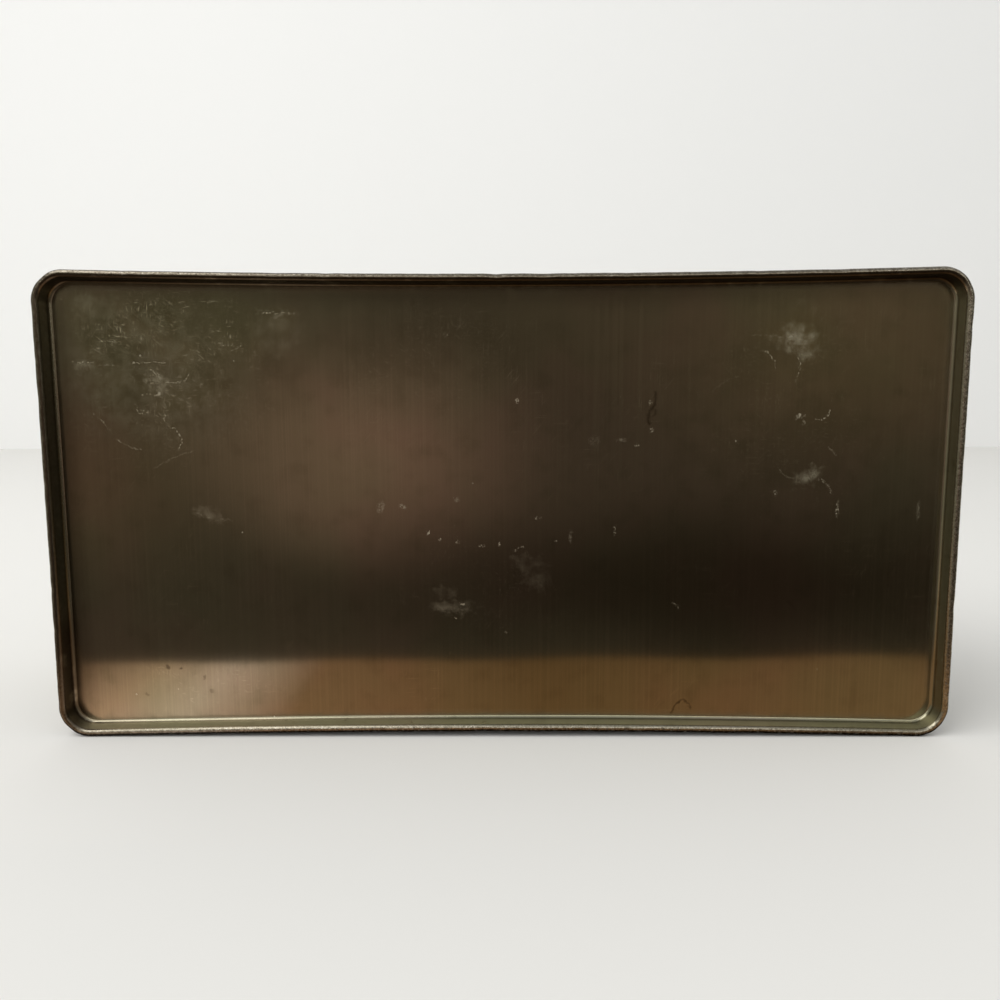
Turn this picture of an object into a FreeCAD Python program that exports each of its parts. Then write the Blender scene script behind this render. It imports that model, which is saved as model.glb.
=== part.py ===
"""Rectangular slip-lid tin with a double-seamed base, standing on one long side.

Sizes are in millimetres. +Z is up and +X runs along the tin's long side. The base end faces -Y and the
lid faces +Y. The origin is under the middle of the tin, on the surface that it stands on.

The tin is three pieces of tinplate: the can body, closed and so solid inside, the pressed base end, whose rim
is rolled with the body's flange into a double seam, and the slip lid, which sits over the body's neck.

Every piece is drawn as a section and carried round one outline. In a section a point is (inset, rise):
the inset is measured square to the outline, inwards from the outermost face of the tin, and the rise is
measured from the seam's crest at the base end towards the lid.
"""

import math
import os

import FreeCAD
import Part

# Overall sizes
length = 230.0
height = 118.6
depth = 70.0

# Outline of the seam's outer face: rounded corners, and sides that draw in a little between them
corner_radius = 8.0
long_side_bow = 1.35
short_side_bow = 0.15

# Tinplate, the slack between two layers of a seam, and the most that one chord of a bend turns
sheet = 0.32
layer_gap = 0.08
bend_step = math.radians(45)

# Base end and its double seam
recess_depth = 4.9
recess_foot_inset = 2.15
recess_fillet = 0.9
seam_height = 3.0
hook_end_gap = 0.3

# Neck of the body, under the lid
neck_step = 0.85
shoulder_run = 1.6

# Lid
lid_clearance = 0.15
lid_skirt = 14.0
lid_edge_radius = 1.8
lid_border = 9.0
lid_raise = 1.0
lid_step_run = 2.3
lid_panel_corner = 20.0
curl_sweep = math.radians(270)
shoulder_gap = 0.5

# Lock seam of the body: the line where its folded ends meet, on the side that the tin stands on
lock_seam_width = 0.6

# The layers of the double seam, from its outer face inwards
hook_outer_inset = sheet + layer_gap
hook_inner_inset = hook_outer_inset + sheet
cover_hook_inset = hook_inner_inset + layer_gap
body_inset = cover_hook_inset + sheet + layer_gap
body_inner_inset = body_inset + sheet
seam_thickness = body_inner_inset + layer_gap + sheet

# Bends of the double seam
crest_radius = seam_thickness / 2
flange_outer_radius = crest_radius - hook_outer_inset
flange_inner_radius = flange_outer_radius - sheet
cover_bend_inner = (cover_hook_inset - sheet) / 2
cover_bend_outer = cover_bend_inner + sheet
cover_bend_rise = seam_height - cover_bend_outer

# Neck and lid. The lid's curl reaches as far out as the seam, so that the tin stands level on its side.
neck_inset = body_inset + neck_step
skirt_inner_inset = neck_inset - lid_clearance
skirt_outer_inset = skirt_inner_inset - sheet
curl_radius = skirt_inner_inset / 2
border_rise = depth - lid_raise
body_top_rise = border_rise - sheet
curl_rise = border_rise - lid_skirt + curl_radius
neck_bottom_rise = curl_rise - curl_radius - shoulder_gap
body_edge_radius = lid_edge_radius - sheet


def around(centre, radius, angle):
    """The point of a section at an angle round a centre; angle 0 points inwards and 90 degrees to the lid."""
    return (centre[0] + radius * math.cos(angle), centre[1] + radius * math.sin(angle))


class Section:
    """A chain of points joined by straight lines."""

    def __init__(self, start):
        self.points = [start]

    def line(self, end):
        """Adds a straight line to a point."""
        self.points.append(end)

    def arc(self, centre, radius, start_angle, end_angle):
        """Adds an arc round a centre, from the chain's end, as chords that each turn at most bend_step."""
        sweep = end_angle - start_angle
        chords = math.ceil(abs(sweep) / bend_step)
        for chord in range(1, chords + 1):
            self.line(around(centre, radius, start_angle + sweep * chord / chords))


def side_arc_radius(half_length, bow, corner):
    """The radius of a side that draws in by bow, tangent to the corner arcs at half_length either side."""
    return (half_length**2 + bow**2) / (2 * bow) - corner


def outline_arcs(corner):
    """The outline as eight arcs, anticlockwise seen from the base end, for one radius of the corners.

    Each arc is (centre x, centre z, radius, sign, start angle, sweep). At an inset the radius is
    radius + sign * inset, so that every inset outline is parallel to the outer one.
    """
    corner_x = length / 2 - corner
    corner_z = height / 2 - corner
    long_radius = side_arc_radius(corner_x, long_side_bow, corner)
    short_radius = side_arc_radius(corner_z, short_side_bow, corner)
    long_half = math.asin(corner_x / (long_radius + corner))
    short_half = math.asin(corner_z / (short_radius + corner))
    long_centre = height / 2 - long_side_bow + long_radius
    short_centre = length / 2 - short_side_bow + short_radius
    quarter = math.pi / 2
    arcs = []
    for turn in range(4):
        on_long = turn % 2 == 1
        facing = turn * quarter
        reach = long_centre if on_long else short_centre
        side_radius = long_radius if on_long else short_radius
        side_half = long_half if on_long else short_half
        next_half = short_half if on_long else long_half
        side_centre = (reach * math.cos(facing), reach * math.sin(facing))
        arcs.append((*side_centre, side_radius, 1, facing + math.pi + side_half, -2 * side_half))
        diagonal = facing + quarter / 2
        corner_centre = (
            math.copysign(corner_x, math.cos(diagonal)),
            math.copysign(corner_z, math.sin(diagonal)),
        )
        start = facing - side_half
        sweep = quarter + side_half + next_half
        arcs.append((*corner_centre, corner, -1, start, sweep))
    return arcs


def place(arc, angle, point):
    """The point in space of a section point, at an angle along one arc of the outline."""
    centre_x, centre_z, radius, sign, _, _ = arc
    inset, rise = point
    reach = radius + sign * inset
    return FreeCAD.Vector(
        centre_x + reach * math.cos(angle),
        rise - depth / 2,
        height / 2 + centre_z + reach * math.sin(angle),
    )


def carried(section, corner=corner_radius):
    """The faces that a section's chain sweeps round the whole outline."""
    faces = []
    for arc in outline_arcs(corner):
        centre_x, centre_z, _, _, start, sweep = arc
        centre = FreeCAD.Vector(centre_x, 0, height / 2 + centre_z)
        points = [place(arc, start, point) for point in section.points]
        for first, second in zip(points, points[1:]):
            edge = Part.LineSegment(first, second).toShape()
            # Turning about -Y takes +X towards +Z, as the outline's angles do
            faces.append(edge.revolve(centre, FreeCAD.Vector(0, -1, 0), math.degrees(sweep)))
    return faces


def rim(inset, rise, corner=corner_radius):
    """The closed wire round the outline at an inset."""
    edges = []
    for arc in outline_arcs(corner):
        start, sweep = arc[4:]
        points = [place(arc, start + share * sweep, (inset, rise)) for share in (0, 0.5, 1)]
        edges.append(Part.Arc(*points).toShape())
    return Part.Wire(edges)


def closed_solid(faces):
    """The solid inside a closed set of faces."""
    shell = Part.Shell(faces)
    shell.sewShape()
    solid = Part.Solid(shell)
    if solid.Volume < 0:
        solid.reverse()
    return solid


def s_bend(drop, run):
    """The angle and the two radii together of an S-bend of two equal arcs."""
    angle = 2 * math.atan2(drop, run)
    return angle, run / math.sin(angle)


def base_end():
    """The pressed end: panel, fillet, recess wall, crest, seam wall and the hook tucked under the flange."""
    crest = (crest_radius, crest_radius)
    fillet = (recess_foot_inset + recess_fillet, recess_depth - recess_fillet)
    cover_bend = (cover_bend_outer, cover_bend_rise)
    span = math.dist(crest, fillet)
    lean = math.atan2(fillet[0] - crest[0], fillet[1] - crest[1])
    draft = lean - math.asin((crest_radius + recess_fillet) / span)
    hook_top = crest_radius + hook_end_gap
    outer = crest_radius
    inner = crest_radius - sheet
    up = math.pi / 2
    section = Section((fillet[0], recess_depth))
    section.arc(fillet, recess_fillet, up, math.pi - draft)
    section.line(around(crest, outer, -draft))
    section.arc(crest, outer, -draft, -math.pi)
    section.line((0, cover_bend_rise))
    section.arc(cover_bend, cover_bend_outer, math.pi, 0)
    section.line((cover_hook_inset + sheet, hook_top))
    section.line((cover_hook_inset, hook_top))
    section.line((cover_hook_inset, cover_bend_rise))
    section.arc(cover_bend, cover_bend_inner, 0, math.pi)
    section.line((sheet, crest_radius))
    section.arc(crest, inner, -math.pi, -draft)
    section.line(around(fillet, recess_fillet + sheet, math.pi - draft))
    section.arc(fillet, recess_fillet + sheet, math.pi - draft, up)
    panel = [Part.Face(rim(fillet[0], rise)) for rise in (recess_depth, recess_depth + sheet)]
    return closed_solid(carried(section) + panel)


def lock_seam():
    """The fine V-groove where the two folded ends of the body's sheet meet."""
    half = lock_seam_width / 2
    wall = height / 2 - body_inset - long_side_bow
    start = seam_height - depth / 2
    end = neck_bottom_rise - depth / 2
    corners = [(-half, -wall), (0, sheet - wall), (half, -wall), (0, -wall - sheet)]
    points = [FreeCAD.Vector(x, start, height / 2 + z) for x, z in corners]
    groove = Part.Face(Part.makePolygon(points + points[:1]))
    return groove.extrude(FreeCAD.Vector(0, end - start, 0))


def body():
    """The can body: flange hooked into the seam, wall, shoulder, neck and the edge under the lid."""
    crest = (crest_radius, crest_radius)
    floor_rise = recess_depth + sheet
    hook_end = cover_bend_rise - hook_end_gap
    bend_angle, radii = s_bend(neck_step, shoulder_run)
    bend = radii / 2
    shoulder_start = neck_bottom_rise - shoulder_run
    hollow_bend = (body_inset + bend, shoulder_start)
    round_bend = (neck_inset - bend, neck_bottom_rise)
    top_edge = (neck_inset + body_edge_radius, body_top_rise - body_edge_radius)
    up = math.pi / 2
    section = Section((body_inner_inset, floor_rise))
    section.line((body_inner_inset, crest_radius))
    section.arc(crest, flange_outer_radius, 0, -math.pi)
    section.line((hook_outer_inset, hook_end))
    section.line((hook_inner_inset, hook_end))
    section.line((hook_inner_inset, crest_radius))
    section.arc(crest, flange_inner_radius, -math.pi, 0)
    section.line((body_inset, shoulder_start))
    section.arc(hollow_bend, bend, math.pi, math.pi - bend_angle)
    section.arc(round_bend, bend, -bend_angle, 0)
    section.line((neck_inset, top_edge[1]))
    section.arc(top_edge, body_edge_radius, math.pi, up)
    ends = [Part.Face(rim(body_inner_inset, floor_rise)), Part.Face(rim(top_edge[0], body_top_rise))]
    return closed_solid(carried(section) + ends).cut(lock_seam())


def lid():
    """The slip lid: raised panel, border, rounded edge, skirt and the curl along its open edge."""
    bend_angle, radii = s_bend(lid_raise, lid_step_run)
    bend = radii / 2
    panel_inset = lid_border + lid_step_run
    panel_bend = (panel_inset, depth - bend)
    border_bend = (lid_border, border_rise + bend)
    edge_bend = (skirt_outer_inset + lid_edge_radius, border_rise - lid_edge_radius)
    curl = (skirt_inner_inset - curl_radius, curl_rise)
    up = math.pi / 2
    faces = []
    for layer in (0, sheet):
        step = Section((panel_inset, depth - layer))
        step.arc(panel_bend, bend - layer, up, up + bend_angle)
        step.arc(border_bend, bend + layer, bend_angle - up, -up)
        border_outside = rim(edge_bend[0], border_rise - layer)
        border_inside = rim(lid_border, border_rise - layer, lid_panel_corner)
        faces += carried(step, lid_panel_corner)
        faces.append(Part.Face(rim(panel_inset, depth - layer, lid_panel_corner)))
        faces.append(Part.Face([border_outside, border_inside], "Part::FaceMakerBullseye"))
    skirt = Section((edge_bend[0], border_rise))
    skirt.arc(edge_bend, lid_edge_radius, up, math.pi)
    skirt.line((skirt_outer_inset, curl_rise))
    skirt.arc(curl, curl_radius - sheet, 0, -curl_sweep)
    skirt.line(around(curl, curl_radius, -curl_sweep))
    skirt.arc(curl, curl_radius, -curl_sweep, 0)
    skirt.line((skirt_inner_inset, edge_bend[1]))
    skirt.arc(edge_bend, lid_edge_radius - sheet, math.pi, up)
    return closed_solid(faces + carried(skirt))


os.makedirs("parts", exist_ok=True)
for name, shape in (("body", body()), ("base_end", base_end()), ("lid", lid())):
    shape.exportStep(f"parts/{name}.step")
    box = shape.optimalBoundingBox(False, False)
    print(
        f"{name}: valid {shape.isValid()}, solids {len(shape.Solids)}, faces {len(shape.Faces)}, "
        f"volume {shape.Volume:.0f} mm3, box {box.XLength:.2f} x {box.YLength:.2f} x {box.ZLength:.2f}, "
        f"from {box.XMin:.2f} {box.YMin:.2f} {box.ZMin:.2f}"
    )
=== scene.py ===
"""Looks of a shut rectangular tin that stands on a long side, with its base end to the front.

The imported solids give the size. Each of the three pieces of tinplate is drawn again here as one smooth
skin: a section of the sheet, carried round the tin's outline. Sizes are in millimetres until a mesh is made.
"""

import logging
import math
from dataclasses import astuple, dataclass, fields
from enum import Enum
from typing import Any, Callable

import bmesh
import bpy
import numpy as np
from mathutils import Matrix, Vector


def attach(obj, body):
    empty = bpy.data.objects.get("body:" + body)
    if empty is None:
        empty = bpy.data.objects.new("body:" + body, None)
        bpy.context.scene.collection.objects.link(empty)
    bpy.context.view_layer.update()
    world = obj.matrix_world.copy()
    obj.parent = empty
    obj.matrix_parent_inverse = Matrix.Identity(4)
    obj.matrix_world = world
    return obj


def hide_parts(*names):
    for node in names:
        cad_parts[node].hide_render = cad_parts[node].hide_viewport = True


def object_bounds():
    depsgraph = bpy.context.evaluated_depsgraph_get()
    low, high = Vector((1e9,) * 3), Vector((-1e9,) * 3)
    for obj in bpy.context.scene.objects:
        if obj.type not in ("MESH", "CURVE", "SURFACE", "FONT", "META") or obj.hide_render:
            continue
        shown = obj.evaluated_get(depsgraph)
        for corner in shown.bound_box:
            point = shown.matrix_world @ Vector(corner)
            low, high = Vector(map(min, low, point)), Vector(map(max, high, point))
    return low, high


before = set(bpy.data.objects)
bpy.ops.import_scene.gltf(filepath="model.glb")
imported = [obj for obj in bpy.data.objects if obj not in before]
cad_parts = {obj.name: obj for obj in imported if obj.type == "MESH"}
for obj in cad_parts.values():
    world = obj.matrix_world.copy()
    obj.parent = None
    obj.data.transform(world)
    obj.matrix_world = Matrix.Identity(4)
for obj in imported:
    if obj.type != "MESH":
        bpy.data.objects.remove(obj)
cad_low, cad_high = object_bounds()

MM = 0.001
FINE_TURN = math.radians(9)
HIDDEN_TURN = math.radians(20)
HIDDEN_RINGS = 6
QUARTER = math.pi / 2
ANY_DEPTH = 1e3
WELD = 1e-6
SLIVER = 1e-7

log = logging.getLogger("tin")

Colour = tuple[float, float, float, float]
Flat = tuple[float, float]
Grid = np.ndarray
Material = bpy.types.Material
Mesh = bpy.types.Mesh
Piece = bpy.types.Object
Place = tuple[float, float, float]
Socket = bpy.types.NodeSocket
Tree = bpy.types.NodeTree


# --- colour and nodes


def linear(hex_colour: str) -> Colour:
    """Turns an sRGB hex colour into linear values.

    Args:
        hex_colour: A colour such as "#8A7F6D".

    Returns:
        Linear red, green and blue, and an alpha of 1.
    """
    shares = [int(hex_colour[i : i + 2], 16) / 255 for i in (1, 3, 5)]
    red, green, blue = (s / 12.92 if s <= 0.04045 else ((s + 0.055) / 1.055) ** 2.4 for s in shares)
    return (red, green, blue, 1.0)


def add_node(
    tree: Tree, kind: str, inputs: dict[Any, Any] | None = None, out: int | str = 0, **settings: Any
) -> Socket | None:
    """Adds a node to a tree, with its settings and links.

    Args:
        tree: The node tree.
        kind: The node's type name, without "ShaderNode".
        inputs: What each input holds, by its name or number: a value, or a socket to link from.
        out: The name or number of the output to give back.
        **settings: The node's own properties.

    Returns:
        The output, or None if the node has none.
    """
    node = tree.nodes.new("ShaderNode" + kind)
    for name, value in settings.items():
        setattr(node, name, value)
    for key, value in (inputs or {}).items():
        if isinstance(value, Socket):
            tree.links.new(value, node.inputs[key])
        else:
            node.inputs[key].default_value = value
    return node.outputs[out] if node.outputs else None


def new_material(name: str) -> Material:
    """Makes a material with no nodes in it.

    Args:
        name: Its name.

    Returns:
        The new material.
    """
    material = bpy.data.materials.new(name)
    material.use_nodes = True
    material.node_tree.nodes.clear()
    return material


def finish_material(material: Material, kind: str, inputs: dict[str, Any]) -> Material:
    """Gives a material its shader and its output.

    Args:
        material: The material.
        kind: The shader's type name, as add_node takes it.
        inputs: The shader's inputs, as add_node takes them.

    Returns:
        The material.
    """
    shader = add_node(material.node_tree, kind, inputs)
    add_node(material.node_tree, "OutputMaterial", {"Surface": shader})
    return material


def oval(
    tree: Tree, place: Socket, middle: Place, size: Place, turn: float, full: float, amount: float
) -> Socket:
    """Fades softly from the middle of an oval to its edge.

    Args:
        tree: The node tree.
        place: Places.
        middle: The oval's middle.
        size: Its half sizes.
        turn: How far it is turned about y, in degrees.
        full: How far from the edge it has its whole amount, as a share of its half size.
        amount: That amount.

    Returns:
        The oval's strength.
    """
    inside = {"Vector": place, "Location": middle, "Rotation": (0.0, math.radians(turn), 0.0), "Scale": size}
    inside = add_node(tree, "Mapping", inside, vector_type="TEXTURE")
    fade = add_node(tree, "TexGradient", {"Vector": inside}, 1, gradient_type="SPHERICAL")
    return add_node(tree, "MapRange", {0: fade, 2: full, 4: amount}, interpolation_type="SMOOTHSTEP")


# --- outline and section


@dataclass(frozen=True)
class Outline:
    """A rectangle with rounded corners, whose sides draw in a little between them.

    Its arcs stay parallel at every inset, because each keeps its centre and only its radius changes.
    """

    length: float
    height: float
    corner: float
    long_bow: float
    short_bow: float
    fold: float = 0.0
    long_steps: int = 190
    short_steps: int = 96
    corner_steps: int = 28

    def arcs(self) -> tuple[Grid, Grid, Grid, Grid]:
        """Works out the eight arcs, anticlockwise from the middle right, as seen from the base end.

        A side's radius is (half length squared + bow squared) / (2 bow), less the corner's radius.

        Returns:
            Arc centres (n, 2), radii (n), the sign with which an inset changes each radius (n), and angles
            (n), one of each for every point of the outline.
        """
        half = np.array([self.length / 2 - self.corner, self.height / 2 - self.corner])
        bows = np.array([self.short_bow, self.long_bow])
        across = half[::-1]
        radii = (across**2 + bows**2) / (2 * bows) - self.corner
        spread = np.arcsin(across / (radii + self.corner))
        reach = half + self.corner - bows + radii
        centres, sizes, signs, angles = [], [], [], []
        for turn in range(4):
            side, facing = turn % 2, turn * QUARTER
            steps = (self.short_steps, self.long_steps)[side]
            shares = np.arange(steps) / steps
            if side and self.fold:
                beside = self.fold / 4 / half[0]
                shares = np.sort(np.append(shares, [0.5 - beside, 0.5 + beside]))
            side_centre = reach[side] * np.array([math.cos(facing), math.sin(facing)])
            centres.append(np.tile(side_centre, (len(shares), 1)))
            sizes.append(np.full(len(shares), radii[side]))
            signs.append(np.ones(len(shares)))
            angles.append(facing + math.pi + spread[side] * (1 - 2 * shares))
            diagonal = facing + math.pi / 4
            corner_centre = half * np.sign([math.cos(diagonal), math.sin(diagonal)])
            start, end = facing - spread[side], facing + QUARTER + spread[1 - side]
            shares = np.arange(self.corner_steps) / self.corner_steps
            centres.append(np.tile(corner_centre, (self.corner_steps, 1)))
            sizes.append(np.full(self.corner_steps, self.corner))
            signs.append(-np.ones(self.corner_steps))
            angles.append(start + (end - start) * shares)
        return np.vstack(centres), np.concatenate(sizes), np.concatenate(signs), np.concatenate(angles)

    def carry(self, section: Grid) -> Grid:
        """Carries a section round the outline.

        A point lies at centre + (radius + sign * inset) * (cos angle, sin angle), and its depth is the rise.

        Args:
            section: Rows of (inset, rise).

        Returns:
            An (m, n, 3) grid of (x, rise, z) from the outline's centre.
        """
        centres, radii, signs, angles = self.arcs()
        reach = radii + signs * section[:, :1]
        x = centres[:, 0] + reach * np.cos(angles)
        z = centres[:, 1] + reach * np.sin(angles)
        rise = np.broadcast_to(section[:, 1:2], x.shape)
        return np.stack([x, rise, z], axis=2)

    def fill(self, inset: float, rise: float, rings: int) -> Grid:
        """Fills the outline with rings that close on a line along its middle.

        Each ring is a mix of the edge and that line: edge * (1 - share) + line * share.

        Args:
            inset: The edge's inset.
            rise: The flat's rise.
            rings: How many rings, the line included.

        Returns:
            A (rings, n, 3) grid, from the ring next to the edge to the line.
        """
        edge = self.carry(np.array([[inset, rise]]))[0]
        half_line = (self.length - self.height) / 2
        line = np.zeros_like(edge)
        line[:, 0] = np.clip(edge[:, 0] * half_line / (self.length / 2 - self.corner), -half_line, half_line)
        line[:, 1] = rise
        share = (np.arange(1, rings + 1) / rings)[:, None, None]
        return edge * (1 - share) + line * share


@dataclass(frozen=True)
class Wear:
    """What the press and use did to a place on the sheet, each from 0 to 1."""

    rub: float = 0.0
    grime: float = 0.0
    matt: float = 0.0


class Section:
    """The sheet's section: points of (inset, rise), each with its wear."""

    def __init__(self, start: Flat, wear: Wear = Wear()) -> None:
        """Starts a section at a point."""
        self.rows: list[tuple[float, ...]] = [(*start, *astuple(wear))]

    def line(self, end: Flat, steps: int = 1, wear: Wear = Wear()) -> None:
        """Adds a straight line.

        Args:
            end: Its end.
            steps: How many parts it has.
            wear: Its wear.
        """
        start = np.array(self.rows[-1][:2])
        for point in start + (np.array(end) - start) * np.linspace(0, 1, steps + 1)[1:, None]:
            self.rows.append((*point, *astuple(wear)))

    def arc(
        self,
        centre: Flat,
        radius: float,
        start: float,
        end: float,
        wear: Wear = Wear(),
        turn: float = FINE_TURN,
    ) -> None:
        """Adds an arc of chords: centre + radius * (cos angle, sin angle).

        Args:
            centre: Its centre.
            radius: Its radius.
            start: The angle at its start. 0 points inwards and a quarter turn to the lid.
            end: The angle at its end.
            wear: Its wear.
            turn: How far each chord turns at most.
        """
        steps = math.ceil(abs(end - start) / turn)
        angles = np.linspace(start, end, steps + 1)[1:, None]
        for point in np.array(centre) + radius * np.hstack([np.cos(angles), np.sin(angles)]):
            self.rows.append((*point, *astuple(wear)))


class Skin:
    """A closed skin under construction: rings of points, each with its rub, grime and matt."""

    def __init__(self, parts: list[tuple[Outline, Section]], front_rings: int = HIDDEN_RINGS) -> None:
        """Strings sections together, each carried round its outline, and closes both ends with flats.

        Args:
            parts: The outlines and their sections, in order.
            front_rings: How many rings the first flat has.
        """
        self.points: list[Grid] = []
        self.wear: list[Grid] = []
        (front, first), (back, last) = parts[0], parts[-1]
        self.add(front.fill(*first.rows[0][:2], front_rings)[::-1])
        for outline, section in parts:
            table = np.array(section.rows)
            self.add(outline.carry(table[:, :2]), table[:, 2:])
        self.add(back.fill(*last.rows[-1][:2], HIDDEN_RINGS))

    def add(self, points: Grid, wear: Grid = np.zeros(3)) -> None:
        """Adds rings.

        Args:
            points: An (m, n, 3) grid.
            wear: Rub, grime and matt: one row for each ring, or one row for all.
        """
        self.points.append(points)
        rows = np.broadcast_to(wear, (len(points), 3))
        self.wear.append(np.repeat(rows[:, None], points.shape[1], axis=1))

    def mesh(self, name: str, shape: Callable[[Grid, Grid], Grid], middle: Place) -> Piece:
        """Makes the closed mesh.

        Args:
            name: The piece's name.
            shape: Moves the points: takes the points and their rub, and gives the points' new places.
            middle: Where the outline's centre lies at rise 0, in millimetres.

        Returns:
            The new object.
        """
        points, wear = np.concatenate(self.points), np.concatenate(self.wear)
        rings, around = points.shape[:2]
        points = (shape(points, wear[..., 0]) + np.array(middle)) * MM
        first = np.arange(rings - 1)[:, None] * around + np.arange(around)
        after = np.arange(rings - 1)[:, None] * around + (np.arange(around) + 1) % around
        quads = np.stack([first, after, after + around, first + around], axis=2).reshape(-1, 4)
        mesh = bpy.data.meshes.new(name)
        mesh.from_pydata(points.reshape(-1, 3), [], quads)
        for column, layer in enumerate(fields(Wear)):
            values = wear[..., column].ravel().astype(np.float32)
            mesh.attributes.new(layer.name, "FLOAT", "POINT").data.foreach_set("value", values)
        close_seams(mesh)
        piece = bpy.data.objects.new(name, mesh)
        bpy.context.scene.collection.objects.link(piece)
        return piece


def close_seams(mesh: Mesh) -> None:
    """Merges doubled points, turns the faces outwards and shades them smooth.

    Args:
        mesh: The mesh to finish.
    """
    work = bmesh.new()
    work.from_mesh(mesh)
    bmesh.ops.remove_doubles(work, verts=work.verts, dist=WELD)
    bmesh.ops.dissolve_degenerate(work, edges=work.edges, dist=SLIVER)
    bmesh.ops.recalc_face_normals(work, faces=work.faces)
    if work.calc_volume(signed=True) < 0:
        bmesh.ops.reverse_faces(work, faces=work.faces)
    for face in work.faces:
        face.smooth = True
    work.to_mesh(mesh)
    work.free()


# --- uneven form


@dataclass(frozen=True)
class Unevenness:
    """How far the thin sheet strays from its drawn form, in millimetres."""

    panel_wave: float = 0.06
    wave_lengths: tuple[float, ...] = (74.0, 53.0, 38.0)
    edge_wave: float = 0.07
    wander_lengths: tuple[float, ...] = (31.0, 17.0, 9.0, 5.0)
    nick: float = 0.16
    nicks: int = 46
    nick_widths: Flat = (0.8, 2.4)
    nick_shares: Flat = (0.3, 1.0)
    seed: int = 7

    def __call__(self, points: Grid, rub: Grid) -> Grid:
        """Moves points: long shallow waves over the flats, and along rubbed edges a finer wander and nicks.

        A wave is the sine of the place along a heading. The wander is a sum of products of a sine and a
        cosine of place. A nick is a bell curve about a place on the edge, exp(-(distance / width) ** 2).

        Args:
            points: An (m, n, 3) grid.
            rub: An (m, n) grid.

        Returns:
            The moved points.
        """
        draw = np.random.default_rng(self.seed)
        x, z = points[..., 0], points[..., 2]
        wave, wander, dent = np.zeros_like(x), np.zeros_like(x), np.zeros_like(x)
        for length in self.wave_lengths:
            heading, phase = draw.uniform(0, math.pi), draw.uniform(0, 2 * math.pi)
            wave += np.sin(2 * math.pi * (x * math.cos(heading) + z * math.sin(heading)) / length + phase)
        for length in self.wander_lengths:
            phase = draw.uniform(0, 2 * math.pi, 2)
            across, up = 2 * math.pi * x / length + phase[0], 2 * math.pi * z / length + phase[1]
            wander += np.sin(across) * np.cos(up)
        edge = points[np.argmax(rub.max(axis=1))]
        for _ in range(self.nicks):
            place = edge[draw.integers(edge.shape[0])]
            width, depth = draw.uniform(*self.nick_widths), draw.uniform(*self.nick_shares)
            dent += depth * np.exp(-((x - place[0]) ** 2 + (z - place[2]) ** 2) / width**2)
        outward = np.stack([x, np.zeros_like(x), z], axis=2)
        outward /= np.maximum(np.linalg.norm(outward, axis=2, keepdims=True), 1e-6)
        moved = points.copy()
        moved[..., 1] += wave * self.panel_wave / len(self.wave_lengths) * (1 - rub)
        shift = wander / len(self.wander_lengths) * self.edge_wave - dent * self.nick
        moved += outward * (shift * rub)[..., None]
        return moved


# --- sizes shared by the pieces


@dataclass(frozen=True)
class Tinplate:
    """The sheet, its double seam and the tin's outside, in millimetres."""

    sheet: float = 0.32
    layer_gap: float = 0.08
    seam_height: float = 3.0
    corner: float = 8.0
    long_bow: float = 1.35
    short_bow: float = 0.15
    recess_depth: float = 4.9
    length: float = (cad_high.x - cad_low.x) / MM
    height: float = (cad_high.z - cad_low.z) / MM
    depth: float = (cad_high.y - cad_low.y) / MM

    @property
    def cover_hook_inset(self) -> float:
        """Inset of the cover hook's outer face, past the seam wall and the body hook."""
        return 2 * (self.sheet + self.layer_gap)

    @property
    def body_inset(self) -> float:
        """Inset of the body's wall."""
        return self.cover_hook_inset + self.sheet + self.layer_gap

    @property
    def crest_radius(self) -> float:
        """Radius of the seam's crest: half the thickness of its five layers."""
        return (self.body_inset + 2 * self.sheet + self.layer_gap) / 2

    def outline(self, corner: float | None = None, fold: float = 0.0) -> Outline:
        """The outline of the seam's outer face, or one with rounder corners or a fold in its long sides."""
        return Outline(self.length, self.height, corner or self.corner, self.long_bow, self.short_bow, fold)

    @property
    def middle(self) -> Place:
        """Where rise 0 lies behind the middle of the outline."""
        return (0.0, -self.depth / 2, self.height / 2)


# --- marks


class Tone(Enum):
    """Colours of old bare tinplate and what lies on it, and the colour of painted shade, as sRGB hex."""

    OLIVE = "#7C7863"
    WARM = "#837766"
    STREAK = "#8F8873"
    BLOOM = "#6A6450"
    DRAWN = "#A8A48D"
    RIM = "#7C7568"
    WORN = "#A8A191"
    BARE = "#C9C3B7"
    HAZE = "#A39E8A"
    SCUFF = "#BDB5A0"
    GRIME = "#1E1A12"
    # painted shade, for the drawn hollow's walls and the panel's edges
    PAINTED_SHADE = "#3A2D1E"
    RUST = "#35270F"


@dataclass(frozen=True)
class Smudge:
    """An uneven oval mark, placed from the panel's middle, in millimetres. Its turn is in degrees."""

    x: float
    z: float
    across: float
    up: float
    amount: float = 1.0
    turn: float = 0.0

    def mask(self, tree: Tree, place: Socket) -> Socket:
        """Fades from the amount at the middle to 0 at the edge, at any depth."""
        size = (self.across / 2, ANY_DEPTH, self.up / 2)
        return oval(tree, place, (self.x, 0.0, self.z), size, turn=self.turn, full=0.6, amount=self.amount)


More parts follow.
